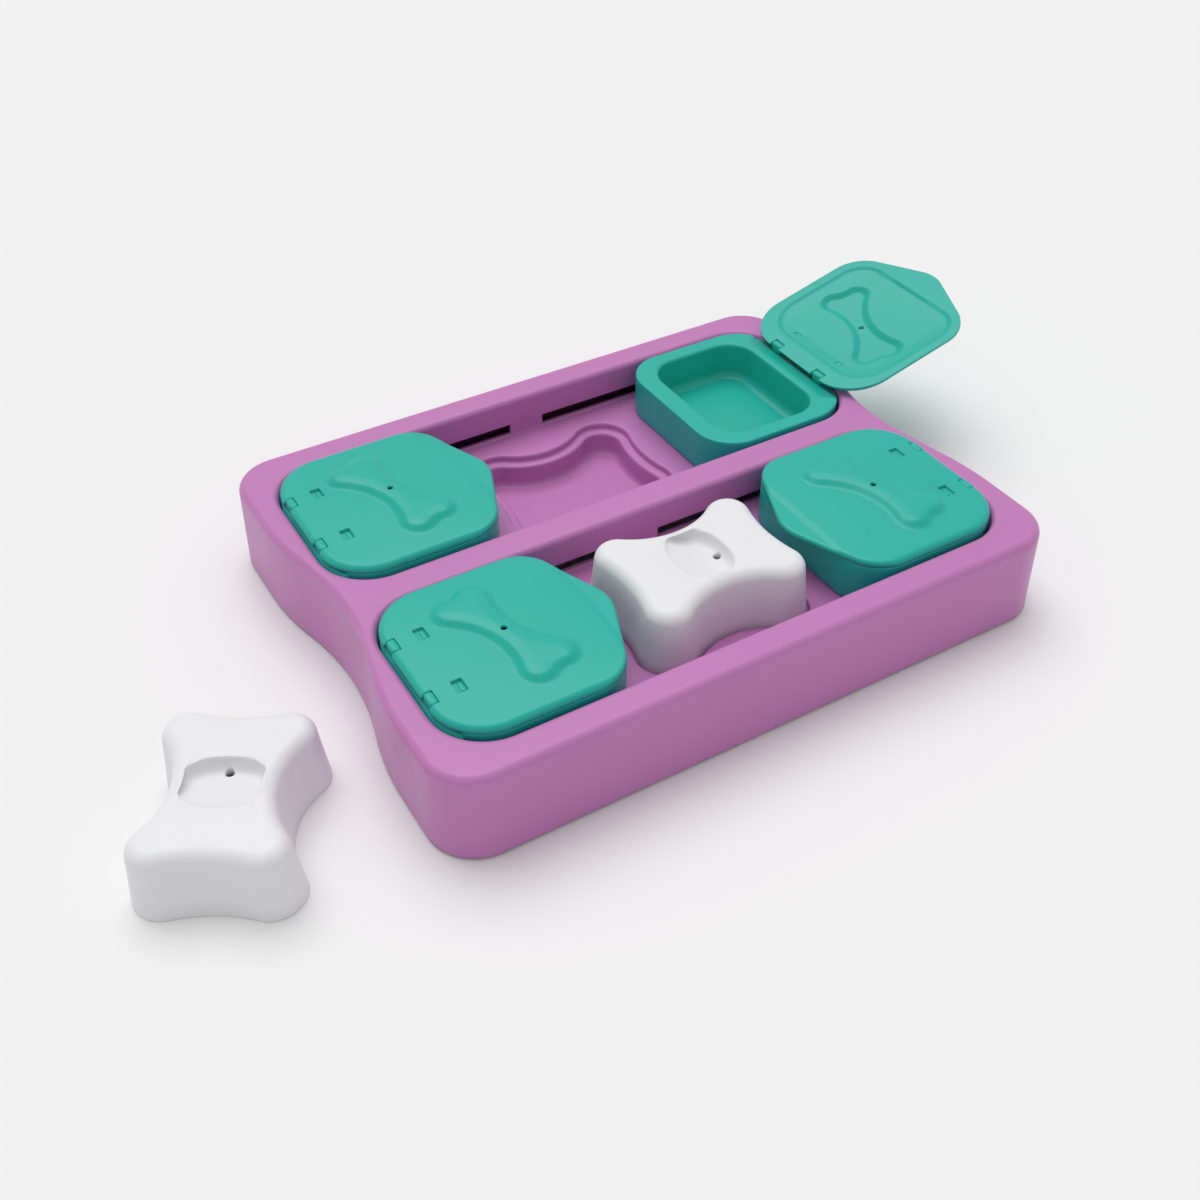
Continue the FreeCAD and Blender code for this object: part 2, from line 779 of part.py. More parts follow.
def make_hinge_pins(name, side, end):
    """The two cross pins that join a lid to the lugs of its box."""
    group = doc.addObject("Part::Compound", "hinge_pins_" + name)
    group.Label = "hinge_pins_" + name
    pins = []
    for index, pin_side in enumerate((-1, 1)):
        pin = doc.addObject("Part::Cylinder", "pin_" + name + "_" + str(index))
        for prop, length in (("Radius", size["pin_diameter"] / 2), ("Height", size["pin_length"])):
            setattr(pin, prop, length.value)
            pin.setExpression(prop, length.formula)
        start = size["hinge_spacing"] / 2 * pin_side + size["pin_length"] / 2
        pin.Placement = FreeCAD.Placement(V(0, start.value, 0), FreeCAD.Rotation(V(1, 0, 0), 90))
        pin.setExpression("Placement.Base.y", start.formula)
        pins.append(pin)
    group.Links = pins
    place(group, hinge_x * end, channel_y * side, hinge_z, 0)
    doc.recompute()
    return group


def make_bone_cover(name, x, y, z, turn):
    """A hollow bone-shaped cover with drafted sides, a finger recess and a small hole in it."""
    body = new_body("bone_cover_" + name)
    zero = as_size(0)
    foot = new_sketch(body, "cover_foot_" + name, "XY_Plane", 0)
    add_outline(foot, *cover_outline(zero, zero, zero))
    crown_depth = size["bone_top_round"] + size["crown_land"]
    brow_z = size["bone_height"] - crown_depth
    brow = new_sketch(body, "cover_brow_" + name, "XY_Plane", brow_z)
    add_outline(brow, *cover_outline(-size["bone_draft_inset"], zero, zero))
    loft(body, foot, brow)
    crown = new_sketch(body, "cover_crown_" + name, "XY_Plane", brow_z)
    add_outline(crown, *cover_outline(-size["bone_draft_inset"], zero, zero))
    block = pad(body, crown, crown_depth)
    edges = level_edges(block.Shape, size["bone_height"].value, lambda p: True)
    round_edges(body, block, edges, size["bone_top_round"])

    finger = new_sketch(body, "finger_recess_" + name, "XY_Plane", size["bone_height"])
    half_x = size["finger_width"] / 2
    half_y = size["finger_length"] / 2
    corner = size["finger_corner"]
    corners = rounded_block(-half_x, half_x, -half_y, half_y, corner, corner)
    add_outline(finger, corners, [None] * 4)
    cut = pocket(body, finger, size["finger_depth"])
    level = size["bone_height"] - size["finger_depth"]
    names = level_edges(cut.Shape, level.value, lambda p: True)
    round_edges(body, cut, names, size["finger_floor_round"])

    wall = size["bone_wall"]
    inset = -wall - size["bone_draft_inset"]
    low = new_sketch(body, "cover_hollow_low_" + name, "XY_Plane", 0)
    add_outline(low, *cover_outline(inset, zero, zero))
    under_finger = level - wall
    pocket(body, low, under_finger, up=True)
    high = new_sketch(body, "cover_hollow_high_" + name, "XY_Plane", under_finger)
    add_outline(high, *cover_outline(inset, zero, zero))
    grown_x = half_x + wall
    grown_y = half_y + wall
    corner = size["finger_corner"] + wall
    corners = rounded_block(-grown_x, grown_x, -grown_y, grown_y, corner, corner)
    add_outline(high, corners, [None] * 4)
    pocket(body, high, size["bone_height"] - wall - under_finger, up=True)

    hole = new_sketch(body, "cover_hole_" + name, "XY_Plane", level)
    edge_x = half_x - size["bone_hole"]
    add_circle(hole, edge_x, zero, size["bone_hole"] / 2)
    pocket(body, hole, wall + size["bone_hole"])
    place(body, x, y, z, turn)
    return body


def checked(parts):
    """Stop if any object of the document failed or any sub-part's shape is unsound."""
    doc.recompute()
    for thing in doc.Objects:
        if "Invalid" in thing.State or "Error" in thing.State:
            raise RuntimeError(thing.Name + " failed: " + str(thing.State))
    for part in parts:
        shape = part.Shape
        if shape.isNull() or not shape.isValid() or shape.Volume <= 0:
            raise RuntimeError(part.Label + " has no sound shape")
    return parts


def build():
    parts = [make_tray_shell()]
    for name, x_side, y_side in FOOT_PLACES:
        parts.append(make_foot(name, x_side, y_side))
    for side_name, side in SIDES:
        for end_name, end in ENDS:
            name = side_name + "_" + end_name
            is_open = name == "rear_right"
            angle = size["lid_open_angle"].value if is_open else 0
            parts.append(make_slider_box(name, side, end))
            parts.append(make_lid(name, side, end, angle))
            parts.append(make_hinge_pins(name, side, end))
    seat = well_ledge + size["bone_seat_gap"]
    parts.append(make_bone_cover("front", as_size(0), -channel_y, seat, 0))
    parts.append(
        make_bone_cover(
            "rear", size["loose_bone_x"], size["loose_bone_y"], as_size(0), size["loose_bone_turn"]
        )
    )
    return checked(parts)


for sub_part in build():
    sub_part.Shape.exportStep("parts/" + sub_part.Label + ".step")
    print(sub_part.Label, len(sub_part.Shape.Solids), round(sub_part.Shape.Volume))
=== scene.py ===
import json
import math

import bmesh
import bpy
import numpy as np
from mathutils import Matrix, Vector


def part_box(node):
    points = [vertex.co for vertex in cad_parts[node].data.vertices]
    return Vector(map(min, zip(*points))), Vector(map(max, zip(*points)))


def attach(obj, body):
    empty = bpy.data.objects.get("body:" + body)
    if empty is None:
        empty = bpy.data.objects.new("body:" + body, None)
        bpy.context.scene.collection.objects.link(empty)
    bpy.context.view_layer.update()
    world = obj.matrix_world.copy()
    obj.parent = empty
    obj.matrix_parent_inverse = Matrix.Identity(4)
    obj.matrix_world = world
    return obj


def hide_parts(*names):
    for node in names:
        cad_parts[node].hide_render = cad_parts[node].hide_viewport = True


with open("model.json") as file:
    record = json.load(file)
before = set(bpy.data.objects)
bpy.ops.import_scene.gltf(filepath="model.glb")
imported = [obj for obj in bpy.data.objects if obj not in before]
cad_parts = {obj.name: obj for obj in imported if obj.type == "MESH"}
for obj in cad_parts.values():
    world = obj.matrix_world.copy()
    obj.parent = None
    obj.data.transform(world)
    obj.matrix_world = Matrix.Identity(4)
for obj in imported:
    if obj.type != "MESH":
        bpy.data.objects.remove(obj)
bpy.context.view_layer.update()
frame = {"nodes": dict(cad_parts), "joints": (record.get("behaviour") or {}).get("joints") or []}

MM = 0.001


# Tray: one injection moulding in orchid purple polypropylene, open underneath, with two
# channels for the slider boxes, a stepped bone-shaped well in the middle of each, and
# slots low in the channels' long walls that hold the boxes' side tabs.
TRAY_LENGTH, TRAY_WIDTH, TRAY_TOP, TRAY_FOOT = 336.0, 260.0, 48.7, 1.2
TRAY_CORNER, TRAY_DRAFT, TRAY_EDGE = 24.6, 1.4, 4.0
WAIST_DEPTH, WAIST_SPAN = 10.7, 80.0
CHANNEL_HALF_LENGTH, CHANNEL_HALF_WIDTH, CHANNEL_CORNER = 152.8, 51.15, 27.0
CHANNEL_EDGE, FLOOR_TOP, FLOOR_UNDER = 3.0, 26.0, 23.4
SLOT_LOW, SLOT_HIGH, SLOT_START, SLOT_END = 26.6, 33.0, 10.0, 125.0
SHELL_WALL, CEILING = 3.0, 45.7
FLOOR_ROUND, RIM_FLAT = 0.6, 0.5
LEDGE, WELL_FLOOR, WELL_UNDER = 22.2, 10.0, 7.6
WELL_GAP, WELL_STEP, WELL_WALL = 1.2, 5.0, 2.4
MOUTH_ROUND, MOUTH_FLAT, LEDGE_ROUND, WELL_ROUND = 1.6, 0.6, 0.8, 4.0
SKIRT_ROUND, THIN_RIM_SHARE, LEAST_ROLL = 0.8, 0.42, 0.3
POST_RADIUS, POST_WALL, SOCKET_TOP, POST_ROOT = 10.2, 3.0, 3.0, 0.4
COVER = dict(length=92.0, width=73.0, lobe=14.5, side_half=26.0, end_half=43.0)
FEET = [(-122.0, -97.0), (122.0, -97.0), (-122.0, 97.0), (122.0, 97.0), (0.0, 0.0)]
SIDES = {"front": -1, "rear": 1}
ENDS = {"left": -1, "right": 1}
hinges = {joint["name"]: joint for joint in frame["joints"] if joint["type"] == "hinge"}
hinge_x, channel_y, hinge_z = (abs(v) / MM for v in hinges["rear_right_lid_hinge"]["pos_m"])


def outline(corners, joins, step, stops=()):
    """Points along a closed outline and its outward normals, both n by 2, in millimetres.

    corners are (x, y, radius) anticlockwise; joins[i] follows corner i and is None for a
    straight or the radius of a hollow arc tangent to both corners. A corner's points are
    c + r(cos a, sin a); a hollow arc's are w + R(cos b, sin b) with the normal reversed.
    Straights get a point at each x in stops, so that slots can start and end there.
    """
    corners = np.array(corners, float)
    count = len(corners)
    leave, meet, links = [0] * count, [0] * count, [None] * count
    for i in range(count):
        one, two = corners[i], corners[(i + 1) % count]
        across = two[:2] - one[:2]
        gap = math.hypot(*across)
        along = math.atan2(across[1], across[0])
        if joins[i] is None:
            leave[i] = meet[(i + 1) % count] = along - math.acos((one[2] - two[2]) / gap)
            continue
        near, far = one[2] + joins[i], two[2] + joins[i]
        turn = math.acos((near ** 2 + gap ** 2 - far ** 2) / (2 * near * gap))
        centre = one[:2] + near * np.array([math.cos(along - turn), math.sin(along - turn)])
        leave[i] = along - turn
        back = centre - two[:2]
        meet[(i + 1) % count] = math.atan2(back[1], back[0])
        links[i] = centre
    points, normals = [], []

    def add_arc(centre, radius, first, last, outward):
        pieces = max(2, int(abs(last - first) * radius / step))
        angles = np.linspace(first, last, pieces, endpoint=False)
        rays = np.stack([np.cos(angles), np.sin(angles)], 1)
        points.append(centre + radius * rays)
        normals.append(rays * outward)

    for i in range(count):
        x, y, radius = corners[i]
        end = leave[i]
        while end <= meet[i]:
            end += 2 * math.pi
        while end > meet[i] + 2 * math.pi:
            end -= 2 * math.pi
        add_arc(np.array([x, y]), radius, meet[i], end, 1)
        there = corners[(i + 1) % count]
        ray = np.array([math.cos(leave[i]), math.sin(leave[i])])
        start = np.array([x, y]) + radius * ray
        if links[i] is None:
            finish = there[:2] + there[2] * ray
            shares = list(np.linspace(0, 1, max(2, int(math.dist(start, finish) / step)), endpoint=False))
            if abs(finish[0] - start[0]) > 1:
                shares += [(stop - start[0]) / (finish[0] - start[0]) for stop in stops]
            shares = np.array(sorted(s for s in shares if 0 <= s < 1))
            shares = shares[np.insert(np.diff(shares) > 1e-6, 0, True)]
            points.append(start + shares[:, None] * (finish - start))
            normals.append(np.tile(ray, (len(shares), 1)))
        else:
            first = leave[i] + math.pi
            last = meet[(i + 1) % count] + math.pi
            while last >= first:
                last -= 2 * math.pi
            while last < first - 2 * math.pi:
                last += 2 * math.pi
            add_arc(links[i], joins[i], first, last, -1)
    return np.concatenate(points), np.concatenate(normals)


def block(left, right, low, high, left_radius, right_radius):
    """Corners of a rounded rectangle, with one radius at each end."""
    return [
        (right - right_radius, low + right_radius, right_radius),
        (right - right_radius, high - right_radius, right_radius),
        (left + left_radius, high - left_radius, left_radius),
        (left + left_radius, low + left_radius, left_radius),
    ]


def bone(length, width, lobe, side_half, end_half, x0, y0):
    """Corners and joins of a four-lobed bone with a hollow arc along each of its sides."""
    a, b = length / 2 - lobe, width / 2 - lobe
    corners = [(x0 + a, y0 - b, lobe), (x0 + a, y0 + b, lobe), (x0 - a, y0 + b, lobe), (x0 - a, y0 - b, lobe)]

    def hollow(offset, half):
        return (offset ** 2 + half ** 2 - lobe ** 2) / (2 * (lobe - offset))

    end_arc, side_arc = hollow(end_half - a, b), hollow(side_half - b, a)
    return corners, [end_arc, side_arc, end_arc, side_arc]


def edge_distance(places, points, normals):
    """Signed distance of each place from an outline, positive inside it."""
    found = np.empty(len(places))
    for start in range(0, len(places), 4000):
        part = places[start:start + 4000]
        apart = part[:, None, :] - points[None, :, :]
        squares = (apart ** 2).sum(2)
        nearest = squares.argmin(1)
        rows = np.arange(len(part))
        side = (apart[rows, nearest] * normals[nearest]).sum(1)
        found[start:start + 4000] = -np.sign(side) * np.sqrt(squares[rows, nearest])
    return found


def quarter(centre_grow, centre_z, radius, first, last, steps=7):
    """Profile points of a rounded edge: grow and z on a circle from first to last degrees."""
    angles = np.radians(np.linspace(first, last, steps))
    return [(centre_grow + radius * math.cos(a), centre_z + radius * math.sin(a)) for a in angles]


class Shell:
    """Rings of points in millimetres joined by strips of quads and by flat fills."""

    def __init__(self):
        self.points = []
        self.quads = []
        self.fills = []
        self.size = 0

    def ring(self, path, grow, z):
        """A ring at path + grow * outward normal; grow and z are one value or one per point."""
        points, normals = path
        flat = points + np.reshape(grow, (-1, 1)) * normals
        heights = np.broadcast_to(z, (len(flat),))
        self.points.append(np.column_stack([flat, heights]))
        start = self.size
        self.size += len(flat)
        return np.arange(start, self.size)

    def strip(self, one, two, keep=None):
        quads = np.stack([one, np.roll(one, -1), np.roll(two, -1), two], 1)
        self.quads.append(quads if keep is None else quads[keep])

    def profile(self, path, rows):
        """Rings at each (grow, z) row, joined by strips; the rings are returned."""
        rings = [self.ring(path, grow, z) for grow, z in rows]
        for one, two in zip(rings, rings[1:]):
            self.strip(one, two)
        return rings

    def fill(self, *rings):
        self.fills.append(rings)

    def object(self, name, place=None):
        """The shell as a closed, smooth-shaded mesh in metres, with its normals outwards."""
        points = np.concatenate(self.points)
        if place is not None:
            points = points @ place[0].T + place[1]
        mesh = bpy.data.meshes.new(name)
        mesh.from_pydata(points * MM, [], np.concatenate(self.quads))
        shape = bmesh.new()
        shape.from_mesh(mesh)
        shape.verts.ensure_lookup_table()
        for rings in self.fills:
            edges = []
            for ring in rings:
                for a, b in zip(ring, np.roll(ring, -1)):
                    pair = (shape.verts[int(a)], shape.verts[int(b)])
                    edges.append(shape.edges.get(pair) or shape.edges.new(pair))
            bmesh.ops.triangle_fill(shape, edges=edges, use_beauty=True, use_dissolve=False)
        bmesh.ops.recalc_face_normals(shape, faces=shape.faces)
        shape.to_mesh(mesh)
        shape.free()
        mesh.polygons.foreach_set("use_smooth", np.ones(len(mesh.polygons), bool))
        made = bpy.data.objects.new(name, mesh)
        bpy.context.scene.collection.objects.link(made)
        return made


def circle_path(x, y, radius, count):
    angles = np.linspace(0, 2 * math.pi, count, endpoint=False)
    rays = np.stack([np.cos(angles), np.sin(angles)], 1)
    return np.array([x, y]) + radius * rays, rays


def tray_path(step):
    """The tray's outline: round corners, and S-curved waists of two equal radii at its ends."""
    half_x, half_y = TRAY_LENGTH / 2, TRAY_WIDTH / 2
    bend = (WAIST_SPAN ** 2 + WAIST_DEPTH ** 2) / (4 * WAIST_DEPTH)
    near, far = half_x - TRAY_CORNER, half_y - TRAY_CORNER
    corners = [
        (near, -far, TRAY_CORNER), (half_x - bend, -WAIST_SPAN, bend),
        (half_x - bend, WAIST_SPAN, bend), (near, far, TRAY_CORNER),
        (-near, far, TRAY_CORNER), (bend - half_x, WAIST_SPAN, bend),
        (bend - half_x, -WAIST_SPAN, bend), (-near, -far, TRAY_CORNER),
    ]
    return outline(corners, [None, bend, None, None, None, bend, None, None], step)


def slot_runs(path):
    """For each gap between points of a channel's outline, whether a slot lies there."""
    points, normals = path
    middle = (points + np.roll(points, -1, 0)) / 2
    straight = (np.abs(normals[:, 1]) > 0.999) & (np.abs(np.roll(normals, -1, 0)[:, 1]) > 0.999)
    across = np.abs(middle[:, 0])
    return straight & (across > SLOT_START) & (across < SLOT_END)


def channel_path(side):
    """A channel's outline, with points where its slots start and end."""
    middle = channel_y * side
    corners = block(
        -CHANNEL_HALF_LENGTH, CHANNEL_HALF_LENGTH,
        middle - CHANNEL_HALF_WIDTH, middle + CHANNEL_HALF_WIDTH,
        CHANNEL_CORNER, CHANNEL_CORNER,
    )
    return outline(corners, [None] * 4, 2.0, [-SLOT_END, -SLOT_START, SLOT_START, SLOT_END])


def narrowed(path, other, radius):
    """The edge radius at each point of a path, less where the rim between two paths is thin."""
    land = np.abs(edge_distance(path[0], *other)) - TRAY_DRAFT
    return np.clip(THIN_RIM_SHARE * land, LEAST_ROLL, radius)


def add_channel(shell, side):
    """One channel: rolled rim, walls with slots through them, floor, stepped well, underside."""
    middle = channel_y * side
    path = channel_path(side)
    slot = slot_runs(path)
    roll = narrowed(path, tray_path(1.0), CHANNEL_EDGE)
    rim = shell.profile(
        path,
        [(1.1 * roll, TRAY_TOP)]
        + quarter(roll, TRAY_TOP - roll, roll, 90, 180, 8)
        + [(0.0, SLOT_HIGH + RIM_FLAT), (0.0, SLOT_HIGH)],
    )
    low = shell.profile(
        path,
        [
            (0.0, SLOT_LOW), (-FLOOR_ROUND / 4, FLOOR_TOP + FLOOR_ROUND / 4),
            (-FLOOR_ROUND, FLOOR_TOP), (-2 * FLOOR_ROUND, FLOOR_TOP),
        ],
    )
    shell.strip(rim[-1], low[0], ~slot)
    outside = shell.profile(path, [(SHELL_WALL, CEILING), (SHELL_WALL, SLOT_HIGH)])
    under = shell.profile(path, [(SHELL_WALL, SLOT_LOW), (SHELL_WALL, FLOOR_UNDER)])
    shell.strip(outside[-1], under[0], ~slot)
    shell.strip(rim[-1], outside[-1], slot)
    shell.strip(low[0], under[0], slot)
    starts = np.nonzero(slot & ~np.roll(slot, 1))[0]
    stops = np.nonzero(~slot & np.roll(slot, 1))[0]
    cheeks = np.concatenate([starts, stops])
    shell.quads.append(
        np.stack([rim[-1][cheeks], low[0][cheeks], under[0][cheeks], outside[-1][cheeks]], 1)
    )
    well = outline(*bone(**COVER, x0=0, y0=middle), 1.0)
    drop = WELL_GAP + MOUTH_ROUND
    inner = WELL_GAP - WELL_STEP
    foot = inner - WELL_ROUND * 1.1
    mouth = shell.profile(
        well,
        [(drop + MOUTH_FLAT, FLOOR_TOP)]
        + quarter(drop, FLOOR_TOP - MOUTH_ROUND, MOUTH_ROUND, 90, 180)
        + quarter(WELL_GAP - LEDGE_ROUND, LEDGE + LEDGE_ROUND, LEDGE_ROUND, 0, -90, 5)
        + quarter(inner + MOUTH_ROUND, LEDGE - MOUTH_ROUND, MOUTH_ROUND, 90, 180)
        + quarter(foot, WELL_FLOOR + WELL_ROUND, WELL_ROUND, 0, -90, 8)
        + [(foot - MOUTH_FLAT, WELL_FLOOR)],
    )
    around = WELL_GAP + WELL_WALL
    cup = shell.profile(well, [(around, FLOOR_UNDER), (around, WELL_UNDER)])
    shell.fill(low[-1], mouth[0])
    shell.fill(mouth[-1])
    shell.fill(under[-1], cup[0])
    shell.fill(cup[-1])
    return rim[0], outside[0]


def make_tray():
    """The whole moulding as one closed surface; see outline and Shell for its points."""
    shell = Shell()
    path = tray_path(2.0)
    channels = [np.concatenate(parts) for parts in zip(*(channel_path(s) for s in SIDES.values()))]
    roll = narrowed(path, channels, TRAY_EDGE)
    wall = SHELL_WALL + TRAY_DRAFT
    skirt = shell.profile(
        path,
        [(-wall, CEILING), (-wall, TRAY_FOOT)]
        + quarter(-SKIRT_ROUND, TRAY_FOOT + SKIRT_ROUND, SKIRT_ROUND, -90, 0, 5)
        + [(-TRAY_DRAFT, TRAY_TOP - TRAY_EDGE - RIM_FLAT)]
        + quarter(-TRAY_DRAFT - roll, TRAY_TOP - roll, roll, 0, 90, 9)
        + [(-TRAY_DRAFT - 1.1 * roll, TRAY_TOP)],
    )
    rims = [add_channel(shell, side) for side in SIDES.values()]
    shell.fill(skirt[-1], rims[0][0], rims[1][0])
    shell.fill(skirt[0], rims[0][1], rims[1][1])
    for x, y in FEET:
        tube = shell.profile(
            circle_path(x, y, POST_RADIUS, 40),
            [
                (-POST_WALL, SOCKET_TOP), (-POST_WALL, TRAY_FOOT),
                (0.0, TRAY_FOOT), (0.0, FLOOR_UNDER + POST_ROOT),
            ],
        )
        shell.fill(tube[0])
        shell.fill(tube[-1])
    return shell.object("tray_moulding")


def srgb(red, green, blue):
    """A display colour, 0 to 255, as linear values."""
    shares = np.array([red, green, blue]) / 255
    return tuple(np.where(shares <= 0.04045, shares / 12.92, ((shares + 0.055) / 1.055) ** 2.4))


# Scales are in noise cells per metre, the grain's depth in metres
CLOUD_SCALE, CLOUD_TINT = 45.0, 0.025
GLOSS_SCALE, GLOSS_SPREAD = 160.0, 0.035
GRAIN_SCALE, GRAIN_STRENGTH, GRAIN_DEPTH = 2600.0, 0.06, 0.0002
SATIN_SPECULAR, SCATTER_DEPTH = 0.34, 0.002


def moulded_finish():
    """The satin of moulded plastic: fine grain, and a faint cloudiness in colour and gloss."""
    group = bpy.data.node_groups.new("moulded_finish", "ShaderNodeTree")
    face = group.interface
    face.new_socket("Color", in_out="INPUT", socket_type="NodeSocketColor")
    face.new_socket("Roughness", in_out="INPUT", socket_type="NodeSocketFloat")
    face.new_socket("Color", in_out="OUTPUT", socket_type="NodeSocketColor")
    face.new_socket("Roughness", in_out="OUTPUT", socket_type="NodeSocketFloat")
    face.new_socket("Normal", in_out="OUTPUT", socket_type="NodeSocketVector")
    nodes, links = group.nodes, group.links
    given = nodes.new("NodeGroupInput")
    out = nodes.new("NodeGroupOutput")
    where = nodes.new("ShaderNodeTexCoord")

    def noise(scale, detail):
        node = nodes.new("ShaderNodeTexNoise")
        node.inputs["Scale"].default_value = scale
        node.inputs["Detail"].default_value = detail
        links.new(where.outputs["Object"], node.inputs["Vector"])
        return node.outputs["Fac"]

    def spread(value, low, high):
        node = nodes.new("ShaderNodeMapRange")
        node.inputs["To Min"].default_value = low
        node.inputs["To Max"].default_value = high
        links.new(value, node.inputs["Value"])
        return node.outputs["Result"]

    cloud = noise(CLOUD_SCALE, 3)
    grain = noise(GRAIN_SCALE, 2)
    tint = nodes.new("ShaderNodeHueSaturation")
    links.new(given.outputs["Color"], tint.inputs["Color"])
    links.new(spread(cloud, 1 - CLOUD_TINT, 1 + CLOUD_TINT), tint.inputs["Value"])
    links.new(tint.outputs["Color"], out.inputs["Color"])
    gloss = nodes.new("ShaderNodeMath")
    gloss.operation = "ADD"
    links.new(given.outputs["Roughness"], gloss.inputs[0])
    links.new(spread(noise(GLOSS_SCALE, 2), -GLOSS_SPREAD, GLOSS_SPREAD), gloss.inputs[1])
    links.new(gloss.outputs["Value"], out.inputs["Roughness"])
    bump = nodes.new("ShaderNodeBump")
    bump.inputs["Strength"].default_value = GRAIN_STRENGTH
    bump.inputs["Distance"].default_value = GRAIN_DEPTH
    links.new(grain, bump.inputs["Height"])
    links.new(bump.outputs["Normal"], out.inputs["Normal"])
    return group


finish_group = moulded_finish()


def plastic(name, colour, roughness, scatter=0.0):
    """A moulded plastic: its colour and roughness through the shared finish."""
    material = bpy.data.materials.new(name)
    material.use_nodes = True
    nodes, links = material.node_tree.nodes, material.node_tree.links
    shader = nodes["Principled BSDF"]
    finish = nodes.new("ShaderNodeGroup")
    finish.node_tree = finish_group
    finish.inputs["Color"].default_value = (*colour, 1)
    finish.inputs["Roughness"].default_value = roughness
    links.new(finish.outputs["Color"], shader.inputs["Base Color"])
    links.new(finish.outputs["Roughness"], shader.inputs["Roughness"])
    links.new(finish.outputs["Normal"], shader.inputs["Normal"])
    shader.inputs["Specular IOR Level"].default_value = SATIN_SPECULAR
    shader.inputs["Subsurface Weight"].default_value = scatter
    shader.inputs["Subsurface Radius"].default_value = (1, 1, 1)
    shader.inputs["Subsurface Scale"].default_value = SCATTER_DEPTH
    return material


purple = plastic("orchid_purple_moulding", srgb(194, 124, 184), 0.36)
tray = make_tray()
tray.data.materials.append(purple)
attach(tray, "tray")
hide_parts("tray_shell")


# Rubber feet: turned-edge discs of grey rubber pressed into the posts under the tray.
FOOT_RADIUS, FOOT_TOP, FOOT_ROUND, FOOT_CORNER = 7.0, 3.0, 0.7, 0.3
rubber = plastic("foot_rubber", srgb(58, 58, 62), 0.75)
for name, (x, y) in zip(("front_left", "front_right", "rear_left", "rear_right", "middle"), FEET):
    shell = Shell()
    disc = shell.profile(
        circle_path(x, y, FOOT_RADIUS, 48),
        [(-FOOT_ROUND - FOOT_CORNER, 0.0)]
        + quarter(-FOOT_ROUND, FOOT_ROUND, FOOT_ROUND, -90, 0, 5)
        + quarter(-FOOT_CORNER, FOOT_TOP - FOOT_CORNER, FOOT_CORNER, 0, 90, 3),
    )
    shell.fill(disc[0])
    shell.fill(disc[-1])
    foot = shell.object("foot_" + name)
    foot.data.materials.append(rubber)
    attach(foot, "tray")
    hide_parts("rubber_foot_" + name)


# Slider boxes: teal polypropylene trays with a flat rim and a deep rounded cavity. Side
# tabs low on the long walls run in the tray's slots, and two round-topped lugs at the
# outer end carry the lid's wires.
BOX_LENGTH, BOX_HALF_WIDTH, BOX_HEIGHT = 91.0, 49.3, 23.0
BOX_OUTER_CORNER, BOX_INNER_CORNER = 26.1, 22.0
CAVITY = dict(left=17.0, right=79.0, half=40.0, corner=16.0, floor=2.4)
TAB_START, TAB_END, TAB_REACH, TAB_LOW, TAB_HIGH = 27.4, 45.4, 53.5, 0.9, 6.1
LEDGE_LENGTH, LEDGE_DROP = 7.0, 2.0
HINGE_SETBACK, HINGE_HEIGHT, HINGE_SPACING = 3.0, 1.9, 38.0
LUG_WIDTH, LUG_LENGTH, LUG_ROUND, TAB_ROUND, ROOT = 8.0, 4.2, 1.4, 0.8, 0.3
BOX_FOOT_ROUND, BOX_BRIM_ROUND, BOX_FLAT, BOX_STRAIGHT = 1.2, 0.9, 0.4, 2.0
MOUTH_LIP, CAVITY_SETBACK, CAVITY_ROUND, CAVITY_FLAT, LEDGE_CORNER = 1.8, 6.0, 5.0, 0.8, 0.3
box_z = hinge_z - HINGE_HEIGHT - BOX_HEIGHT
outer_end = hinge_x + HINGE_SETBACK


def turned(angle, x, y, z):
    """A place: turned about the vertical by angle degrees, then moved to x, y, z."""
    c, s = math.cos(math.radians(angle)), math.sin(math.radians(angle))
    return np.array([[c, -s, 0], [s, c, 0], [0, 0, 1]]), np.array([x, y, z])


def cut(target, cutter):
    """Cut one closed mesh out of another and delete the cutter."""
    modifier = target.modifiers.new("cut", "BOOLEAN")
    modifier.operation = "DIFFERENCE"
    modifier.solver = "EXACT"
    modifier.object = cutter
    graph = bpy.context.evaluated_depsgraph_get()
    mesh = bpy.data.meshes.new_from_object(target.evaluated_get(graph))
    target.modifiers.clear()
    target.data = mesh
    bpy.data.objects.remove(cutter)


def moved_copy(source, name, place):
    """A copy of a piece's mesh, turned and moved in the mesh itself."""
    mesh = source.data.copy()
    points = np.empty(len(mesh.vertices) * 3)
    mesh.vertices.foreach_get("co", points)
    points = points.reshape(-1, 3) @ place[0].T + place[1] * MM
    mesh.vertices.foreach_set("co", points.ravel())
    mesh.update()
    made = bpy.data.objects.new(name, mesh)
    bpy.context.scene.collection.objects.link(made)
    return made


def soft_block(left, right, low, high, bottom, top, soft):
    """A block with upright corners of radius soft; its flat faces' edges take 0.8 of that."""
    shell = Shell()
    path = outline(block(left, right, low, high, soft, soft), [None] * 4, 0.4)
    edge = soft * 0.8
    rings = shell.profile(
        path,
        quarter(-edge, bottom + edge, edge, -90, 0, 4) + quarter(-edge, top - edge, edge, 0, 90, 4),
    )
    shell.fill(rings[0])
    shell.fill(rings[-1])
    return shell


def join_shells(first, others):
    """One shell out of several, without joining their surfaces."""
    for shell in others:
        start = first.size
        first.points += shell.points
        first.quads += [quads + start for quads in shell.quads]
        first.fills += [tuple(ring + start for ring in rings) for rings in shell.fills]
        first.size += shell.size
    return first


